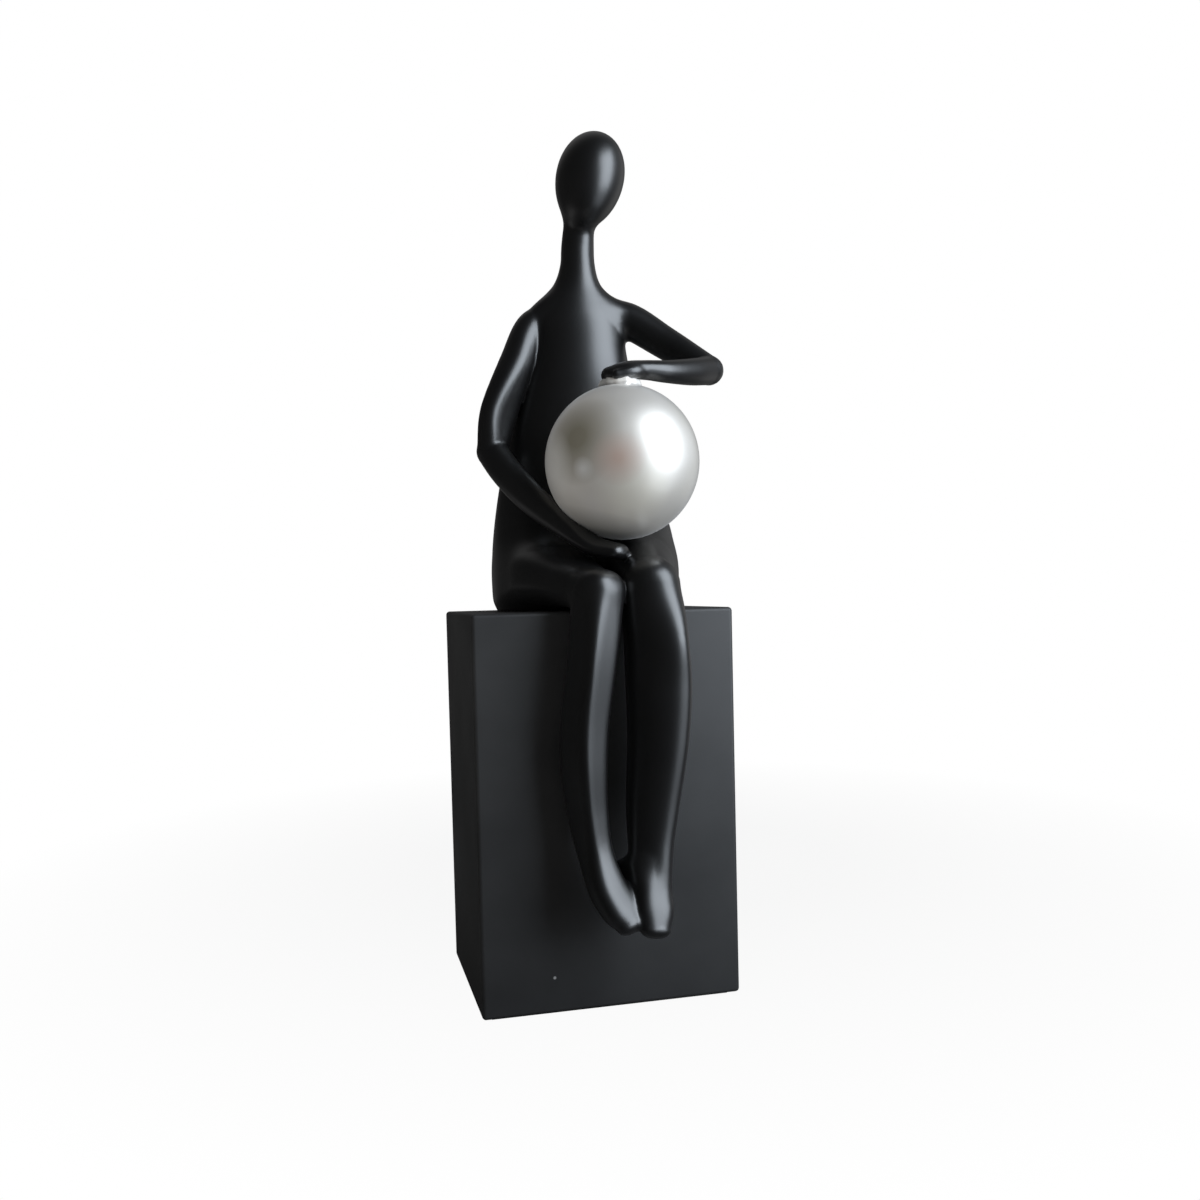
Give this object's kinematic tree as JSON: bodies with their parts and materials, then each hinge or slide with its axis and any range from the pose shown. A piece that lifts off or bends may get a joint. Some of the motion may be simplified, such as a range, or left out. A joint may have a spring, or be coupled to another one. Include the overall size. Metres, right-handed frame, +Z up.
{
  "type": "seated figurine with ball",
  "caption": "Seated faceless figure in satin black holding a silver ball on its lap, its legs hanging in front of a tall rectangular plinth.",
  "frame": {"origin": "middle of the felt's underside, under the middle of the plinth", "axes": "+Z up, -Y to the front where the figure looks, +X to the figure's left"},
  "size_m": [0.0928, 0.0934, 0.2936],
  "materials": {
    "figure_paint": "satin black paint on cast resin",
    "plinth_paint": "satin black paint on cast resin",
    "ball_silver": "satin silver metallic paint on cast resin",
    "steel": "plain steel",
    "board": "dark fibreboard",
    "felt": "black felt"
  },
  "bodies": {
    "root": {"plinth_shell": "plinth_paint", "base_plate": "board", "base_felt": "felt", "torso": "figure_paint", "head": "figure_paint", "right_arm": "figure_paint", "left_arm": "figure_paint", "right_leg": "figure_paint", "left_leg": "figure_paint", "ball": "ball_silver", "neck_pin": "steel", "right_shoulder_pin": "steel", "left_shoulder_pin": "steel", "right_hip_pin": "steel", "left_hip_pin": "steel", "ball_pin": "steel", "right_stud": "steel", "left_stud": "steel", "right_washer": "steel", "left_washer": "steel", "right_nut": "steel", "left_nut": "steel"}
  },
  "joints": []
}
